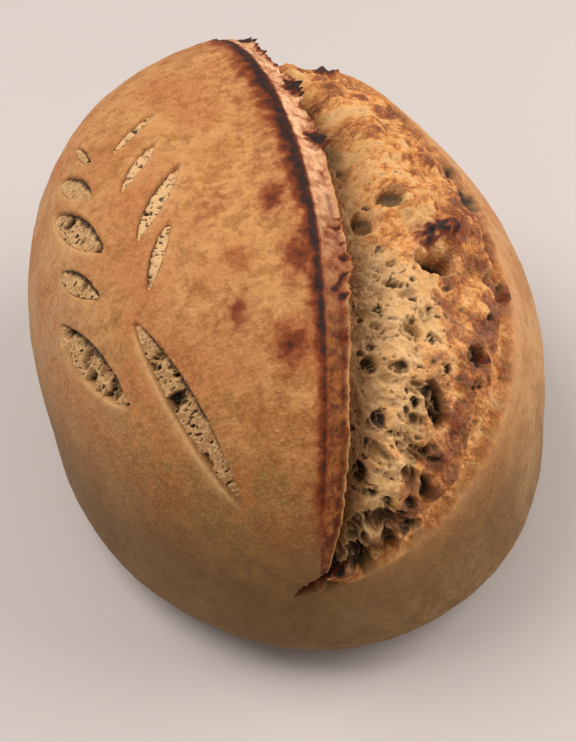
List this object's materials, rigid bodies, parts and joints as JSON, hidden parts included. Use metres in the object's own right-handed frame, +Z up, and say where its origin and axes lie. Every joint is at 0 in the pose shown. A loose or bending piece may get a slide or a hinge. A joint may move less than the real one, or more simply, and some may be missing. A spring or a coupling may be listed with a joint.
{
  "type": "round loaf",
  "caption": "round crusty sourdough loaf, slightly oval, with a raised dark ear, a torn open crumb and wheat-shaped score cuts, flat underneath",
  "frame": {"origin": "centre of the bounding box in plan, at the flat base that the loaf rests on", "axes": "+Z up; +Y along the ear and the tear, from the end where the tear starts to the far end, which is the longest side; +X across the loaf, to the side of the torn crumb"},
  "size_m": [0.2, 0.2518, 0.1491],
  "materials": {
    "crust": "matt baked crust"
  },
  "bodies": {
    "root": {"loaf": "crust"}
  },
  "joints": []
}
